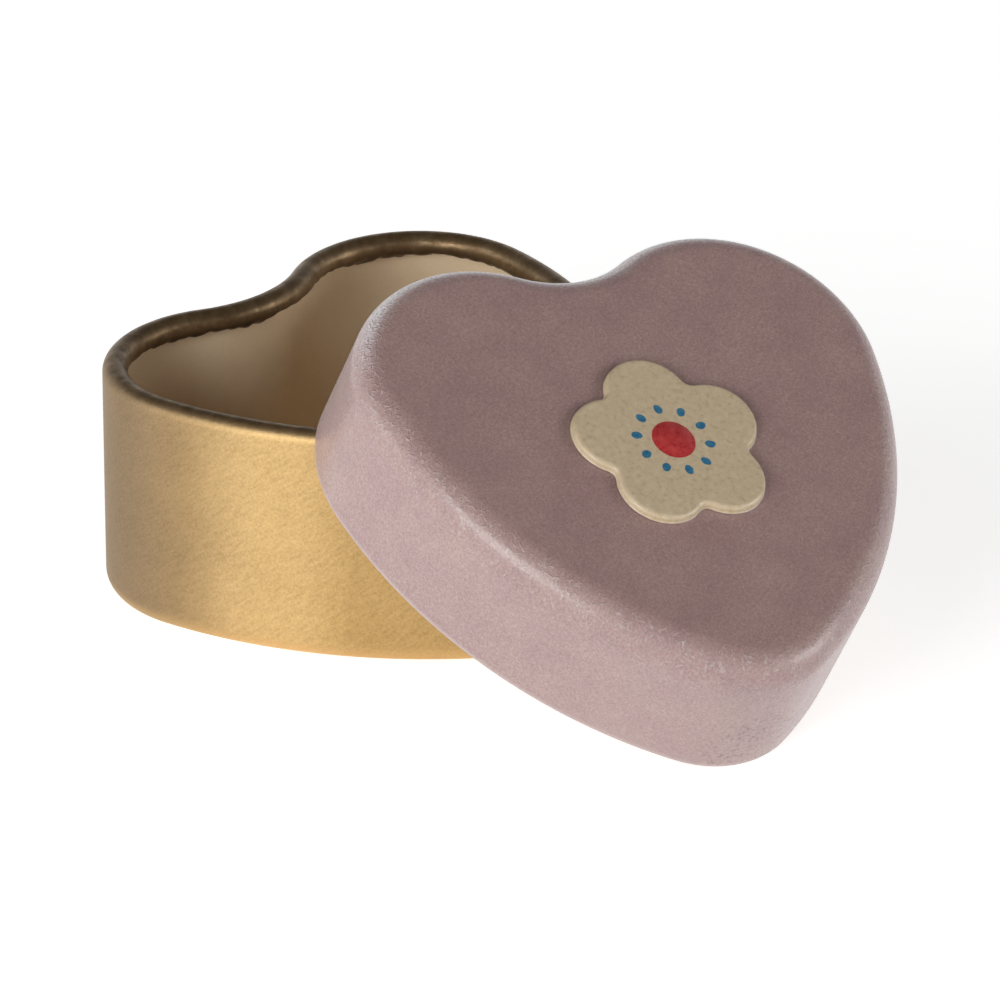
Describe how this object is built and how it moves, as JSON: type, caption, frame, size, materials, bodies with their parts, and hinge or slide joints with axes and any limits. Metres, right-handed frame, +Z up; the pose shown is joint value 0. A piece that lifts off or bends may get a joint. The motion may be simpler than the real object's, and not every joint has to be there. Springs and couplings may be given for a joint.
{
  "type": "heart-shaped keepsake tin",
  "caption": "Small heart-shaped metal keepsake tin for baby teeth, with a rolled rim and a separate slip lid, shown taken off and leaning on the tin.",
  "frame": {"origin": "middle of the tin body's flat underside", "axes": "+Z up, +Y towards the notch of the tin body's heart, -Y towards its tip, +X to the right of its notch seen from above with the notch ahead"},
  "size_m": [0.0557, 0.0827, 0.0388],
  "materials": {
    "gold_lacquer": "satin gold lacquer on tinplate, with a darker bare brass-coloured curl",
    "pink_lacquer": "dusty pink wrinkle lacquer on tinplate, with an enamelled blossom in cream and red"
  },
  "bodies": {
    "tin": {"tin_body": "gold_lacquer"},
    "lid": {"lid": "pink_lacquer"}
  },
  "joints": [
    {"name": "lid_lift", "type": "slide", "parent": "tin", "child": "lid", "axis": [0, 0, 1], "range_m": [0, 0.06]}
  ]
}
